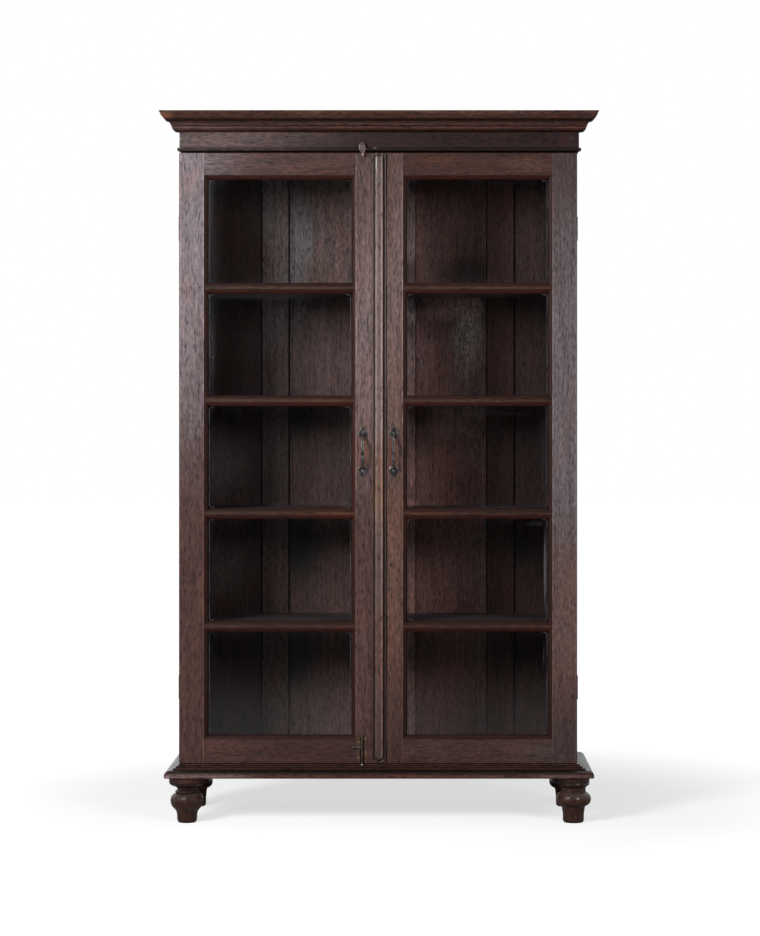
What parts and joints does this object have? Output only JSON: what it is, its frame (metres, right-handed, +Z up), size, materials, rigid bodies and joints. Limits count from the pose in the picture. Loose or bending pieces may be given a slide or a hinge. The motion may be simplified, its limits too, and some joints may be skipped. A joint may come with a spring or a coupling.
{
  "type": "storage cabinet",
  "caption": "Glazed display cabinet in dark wood on turned legs, with hinged paned doors, shelves, moulded cornice and base, bow handles, a turn button and a tower bolt",
  "frame": {"origin": "on the floor, under the middle of the cabinet's bounding box", "axes": "+Z up, -Y out of the front of the doors, +X to the right as seen from the front"},
  "size_m": [1.169, 0.41, 1.9],
  "materials": {
    "frame_wood": "worn satin varnish",
    "dark_wood": "worn dark satin varnish",
    "inner_wood": "dull, unpolished",
    "glass": "clear",
    "iron": "dark, rubbed",
    "brass": "aged, tarnished"
  },
  "bodies": {
    "case": {"side_left": "frame_wood", "side_right": "frame_wood", "frieze_front": "frame_wood", "frieze_left": "frame_wood", "frieze_right": "frame_wood", "base_moulding_front": "dark_wood", "base_moulding_left": "dark_wood", "base_moulding_right": "dark_wood", "base_rear_rail": "dark_wood", "cornice_front": "dark_wood", "cornice_left": "dark_wood", "cornice_right": "dark_wood", "top_board": "dark_wood", "leg_front_left": "dark_wood", "leg_front_right": "dark_wood", "leg_rear_left": "dark_wood", "leg_rear_right": "dark_wood", "floor_board": "inner_wood", "ceiling_board": "inner_wood", "shelf_1": "inner_wood", "shelf_2": "inner_wood", "shelf_3": "inner_wood", "shelf_4": "inner_wood", "back_board_1": "inner_wood", "back_board_2": "inner_wood", "back_board_3": "inner_wood", "back_board_4": "inner_wood", "back_board_5": "inner_wood", "back_board_6": "inner_wood", "frieze_rear": "inner_wood", "left_hinge_1_case_leaf": "iron", "left_hinge_2_case_leaf": "iron", "right_hinge_1_case_leaf": "iron", "right_hinge_2_case_leaf": "iron", "turn_button_nail": "iron"},
    "left_door": {"left_door_hinge_stile": "frame_wood", "left_door_meeting_stile": "frame_wood", "left_door_top_rail": "frame_wood", "left_door_bottom_rail": "frame_wood", "left_door_glazing_bars": "frame_wood", "left_door_glass": "glass", "left_door_glazing_beads": "inner_wood", "left_door_handle": "iron", "left_hinge_1_door_leaf": "iron", "left_hinge_2_door_leaf": "iron", "astragal": "frame_wood", "bolt_plate": "brass"},
    "right_door": {"right_door_hinge_stile": "frame_wood", "right_door_meeting_stile": "frame_wood", "right_door_top_rail": "frame_wood", "right_door_bottom_rail": "frame_wood", "right_door_glazing_bars": "frame_wood", "right_door_glass": "glass", "right_door_glazing_beads": "inner_wood", "right_door_handle": "iron", "right_hinge_1_door_leaf": "iron", "right_hinge_2_door_leaf": "iron"},
    "turn_button": {"turn_button": "frame_wood"},
    "tower_bolt": {"bolt_rod": "brass"}
  },
  "joints": [
    {"name": "left_door_hinge", "type": "hinge", "parent": "case", "child": "left_door", "pos_m": [-0.5365, -0.12755, 0.16], "axis": [0, 0, -1], "range_deg": [0, 180]},
    {"name": "right_door_hinge", "type": "hinge", "parent": "case", "child": "right_door", "pos_m": [0.5305, -0.12755, 0.16], "axis": [0, 0, 1], "range_deg": [0, 180]},
    {"name": "turn_button_pivot", "type": "hinge", "parent": "case", "child": "turn_button", "pos_m": [-0.046, -0.155, 1.8135], "axis": [0, 1, 0], "range_deg": [-110, 110]},
    {"name": "tower_bolt_slide", "type": "slide", "parent": "left_door", "child": "tower_bolt", "axis": [0, 0, 1], "range_m": [0, 0.0148]}
  ]
}
